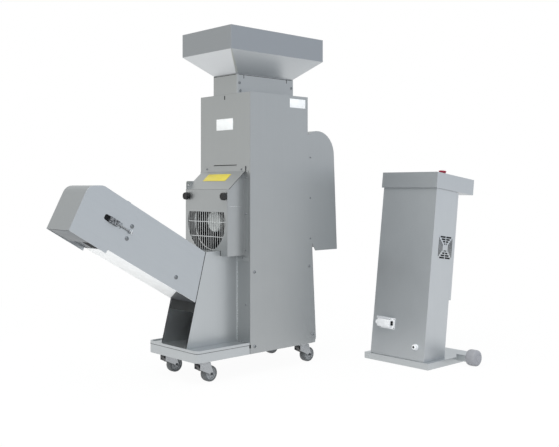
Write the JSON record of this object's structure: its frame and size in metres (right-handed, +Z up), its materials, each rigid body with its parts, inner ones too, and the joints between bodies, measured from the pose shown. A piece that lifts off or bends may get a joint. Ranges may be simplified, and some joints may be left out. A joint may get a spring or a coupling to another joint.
{
  "type": "almond peeling machine",
  "caption": "Floor-standing almond peeler: hopper over geared rubber rollers, skin fan and hood, inclined discharge conveyor, braked castors and a separate control stand.",
  "frame": {"origin": "centre of the whole set's bounding box, on the floor", "axes": "+Z up; -Y the way the conveyor points; +X the machine's side that faces the viewer in the picture"},
  "size_m": [1.0794, 2.1868, 1.769],
  "materials": {
    "stainless_steel": "fine brushed stainless sheet",
    "zinc_plated_steel": "bright zinc plating",
    "black_rubber": "ground rubber covering",
    "grey_rubber": "moulded grey rubber",
    "black_plastic": "moulded",
    "grey_plastic": "moulded",
    "white_plastic": "moulded",
    "white_belt": "smooth food-grade belt",
    "red_plastic": "moulded",
    "green_plastic": "moulded",
    "grey_motor_paint": "satin paint",
    "black_motor_paint": "satin paint"
  },
  "bodies": {
    "machine": {"base_frame": "stainless_steel", "base_tray": "stainless_steel", "bearing_plate_front": "stainless_steel", "bearing_plate_rear": "stainless_steel", "belt_bed": "stainless_steel", "cable_gland": "white_plastic", "control_desk": "stainless_steel", "conveyor_belt": "white_belt", "conveyor_cover": "stainless_steel", "conveyor_hood": "stainless_steel", "conveyor_side_left": "stainless_steel", "conveyor_side_right": "stainless_steel", "drive_motor": "grey_motor_paint", "exhaust_hood": "stainless_steel", "fan_box": "stainless_steel", "fan_motor": "black_motor_paint", "feed_chute": "stainless_steel", "front_panel": "stainless_steel", "hopper": "stainless_steel", "hopper_neck": "stainless_steel", "lower_housing": "stainless_steel", "power_connector": "white_plastic", "product_slide": "stainless_steel", "rear_panel": "stainless_steel", "side_panel_left": "stainless_steel", "side_panel_right": "stainless_steel", "stand_base": "stainless_steel", "stand_column": "stainless_steel", "take_up_left": "zinc_plated_steel", "take_up_right": "zinc_plated_steel"},
    "cover": {"fan_cover": "stainless_steel", "fan_guard": "stainless_steel"},
    "peeling_roller_right": {"peeling_roller_right": "black_rubber"},
    "peeling_roller_left": {"peeling_roller_left": "black_rubber"},
    "fan_impeller": {"fan_impeller": "grey_plastic"},
    "head_roller": {"head_roller": "zinc_plated_steel"},
    "tail_roller": {"tail_roller": "zinc_plated_steel"},
    "idler_roller": {"idler_roller": "zinc_plated_steel"},
    "cover_knob_left": {"cover_knob_left": "black_plastic"},
    "cover_knob_right": {"cover_knob_right": "black_plastic"},
    "stand_door": {"stand_door": "stainless_steel"},
    "emergency_stop": {"emergency_stop": "red_plastic"},
    "start_button": {"start_button": "green_plastic"},
    "stop_button": {"stop_button": "red_plastic"},
    "speed_knob": {"speed_knob": "black_plastic"},
    "connector_lever": {"connector_lever": "grey_plastic"},
    "stand_wheel_right": {"stand_wheel_right": "grey_rubber"},
    "stand_wheel_left": {"stand_wheel_left": "grey_rubber"},
    "castor_fork_front_right": {"castor_fork_front_right": "zinc_plated_steel"},
    "castor_wheel_front_right": {"castor_wheel_front_right": "grey_rubber"},
    "castor_pedal_front_right": {"castor_pedal_front_right": "black_plastic"},
    "castor_fork_front_left": {"castor_fork_front_left": "zinc_plated_steel"},
    "castor_wheel_front_left": {"castor_wheel_front_left": "grey_rubber"},
    "castor_pedal_front_left": {"castor_pedal_front_left": "black_plastic"},
    "castor_fork_rear_right": {"castor_fork_rear_right": "zinc_plated_steel"},
    "castor_wheel_rear_right": {"castor_wheel_rear_right": "grey_rubber"},
    "castor_pedal_rear_right": {"castor_pedal_rear_right": "black_plastic"},
    "castor_fork_rear_left": {"castor_fork_rear_left": "zinc_plated_steel"},
    "castor_wheel_rear_left": {"castor_wheel_rear_left": "grey_rubber"},
    "castor_pedal_rear_left": {"castor_pedal_rear_left": "black_plastic"}
  },
  "joints": [
    {"name": "castor_swivel_front_right", "type": "hinge", "parent": "machine", "child": "castor_fork_front_right", "pos_m": [-0.18975, -0.39444, 0.0985], "axis": [0, 0, 1], "continuous": true},
    {"name": "castor_roll_front_right", "type": "hinge", "parent": "castor_fork_front_right", "child": "castor_wheel_front_right", "pos_m": [-0.18975, -0.35444, 0.04], "axis": [1, 0, 0], "continuous": true},
    {"name": "castor_brake_front_right", "type": "hinge", "parent": "castor_fork_front_right", "child": "castor_pedal_front_right", "pos_m": [-0.18975, -0.40444, 0.072], "axis": [1, 0, 0], "range_deg": [0, 18]},
    {"name": "castor_swivel_front_left", "type": "hinge", "parent": "machine", "child": "castor_fork_front_left", "pos_m": [-0.47975, -0.39444, 0.0985], "axis": [0, 0, 1], "continuous": true},
    {"name": "castor_roll_front_left", "type": "hinge", "parent": "castor_fork_front_left", "child": "castor_wheel_front_left", "pos_m": [-0.47975, -0.35444, 0.04], "axis": [1, 0, 0], "continuous": true},
    {"name": "castor_brake_front_left", "type": "hinge", "parent": "castor_fork_front_left", "child": "castor_pedal_front_left", "pos_m": [-0.47975, -0.40444, 0.072], "axis": [1, 0, 0], "range_deg": [0, 18]},
    {"name": "castor_swivel_rear_right", "type": "hinge", "parent": "machine", "child": "castor_fork_rear_right", "pos_m": [-0.18975, 0.28806, 0.0985], "axis": [0, 0, 1], "continuous": true},
    {"name": "castor_roll_rear_right", "type": "hinge", "parent": "castor_fork_rear_right", "child": "castor_wheel_rear_right", "pos_m": [-0.18975, 0.32806, 0.04], "axis": [1, 0, 0], "continuous": true},
    {"name": "castor_brake_rear_right", "type": "hinge", "parent": "castor_fork_rear_right", "child": "castor_pedal_rear_right", "pos_m": [-0.18975, 0.27806, 0.072], "axis": [1, 0, 0], "range_deg": [0, 18]},
    {"name": "castor_swivel_rear_left", "type": "hinge", "parent": "machine", "child": "castor_fork_rear_left", "pos_m": [-0.47975, 0.28806, 0.0985], "axis": [0, 0, 1], "continuous": true},
    {"name": "castor_roll_rear_left", "type": "hinge", "parent": "castor_fork_rear_left", "child": "castor_wheel_rear_left", "pos_m": [-0.47975, 0.32806, 0.04], "axis": [1, 0, 0], "continuous": true},
    {"name": "castor_brake_rear_left", "type": "hinge", "parent": "castor_fork_rear_left", "child": "castor_pedal_rear_left", "pos_m": [-0.47975, 0.27806, 0.072], "axis": [1, 0, 0], "range_deg": [0, 18]},
    {"name": "peeling_spin_right", "type": "hinge", "parent": "machine", "child": "peeling_roller_right", "pos_m": [-0.27875, -0.13544, 1.27], "axis": [0, 1, 0], "continuous": true},
    {"name": "peeling_spin_left", "type": "hinge", "parent": "machine", "child": "peeling_roller_left", "pos_m": [-0.39075, -0.13544, 1.27], "axis": [0, 1, 0], "continuous": true},
    {"name": "fan_spin", "type": "hinge", "parent": "machine", "child": "fan_impeller", "pos_m": [-0.34775, -0.15744, 0.7805], "axis": [0, 1, 0], "continuous": true},
    {"name": "tail_roller_spin", "type": "hinge", "parent": "machine", "child": "tail_roller", "pos_m": [-0.33475, -0.2161, 0.3773], "axis": [1, 0, 0], "continuous": true},
    {"name": "head_roller_spin", "type": "hinge", "parent": "machine", "child": "head_roller", "pos_m": [-0.33475, -0.87146, 0.80417], "axis": [1, 0, 0], "continuous": true},
    {"name": "idler_roller_spin", "type": "hinge", "parent": "machine", "child": "idler_roller", "pos_m": [-0.33475, -0.91143, 0.71294], "axis": [1, 0, 0], "continuous": true},
    {"name": "fan_cover_pull", "type": "slide", "parent": "machine", "child": "cover", "axis": [0, -1, 0], "range_m": [0, 0.085]},
    {"name": "cover_knob_turn_left", "type": "hinge", "parent": "cover", "child": "cover_knob_left", "pos_m": [-0.50425, -0.24744, 0.912], "axis": [0, 1, 0], "continuous": true},
    {"name": "cover_knob_turn_right", "type": "hinge", "parent": "cover", "child": "cover_knob_right", "pos_m": [-0.19125, -0.24744, 0.912], "axis": [0, 1, 0], "continuous": true},
    {"name": "stand_door_swing", "type": "hinge", "parent": "machine", "child": "stand_door", "pos_m": [0.00925, 0.91577, 0.63392], "axis": [0, 0.1271, 0.9919], "range_deg": [0, 110]},
    {"name": "emergency_stop_press", "type": "slide", "parent": "machine", "child": "emergency_stop", "axis": [0, -0.1271, -0.9919], "range_m": [0, 0.006]},
    {"name": "start_press", "type": "slide", "parent": "machine", "child": "start_button", "axis": [0, -0.1271, -0.9919], "range_m": [0, 0.003], "stiffness_N_per_m": 600},
    {"name": "stop_press", "type": "slide", "parent": "machine", "child": "stop_button", "axis": [0, -0.1271, -0.9919], "range_m": [0, 0.003], "stiffness_N_per_m": 600},
    {"name": "speed_turn", "type": "hinge", "parent": "machine", "child": "speed_knob", "pos_m": [0.25239, 0.97716, 1.01269], "axis": [0, 0.1271, 0.9919], "range_deg": [-135, 135]},
    {"name": "connector_lever_lift", "type": "hinge", "parent": "machine", "child": "connector_lever", "pos_m": [0.09875, 0.65358, 0.23289], "axis": [-1, 0, 0], "range_deg": [0, 65]},
    {"name": "stand_wheel_roll_right", "type": "hinge", "parent": "machine", "child": "stand_wheel_right", "pos_m": [0.50875, 0.89456, 0.0435], "axis": [1, 0, 0], "continuous": true},
    {"name": "stand_wheel_roll_left", "type": "hinge", "parent": "machine", "child": "stand_wheel_left", "pos_m": [-0.12525, 0.89456, 0.0435], "axis": [1, 0, 0], "continuous": true}
  ],
  "couplings": [
    {"joint": "peeling_spin_left", "follows": "peeling_spin_right", "ratio": -0.83333},
    {"joint": "head_roller_spin", "follows": "tail_roller_spin", "ratio": 2.2},
    {"joint": "idler_roller_spin", "follows": "tail_roller_spin", "ratio": 3.85}
  ]
}
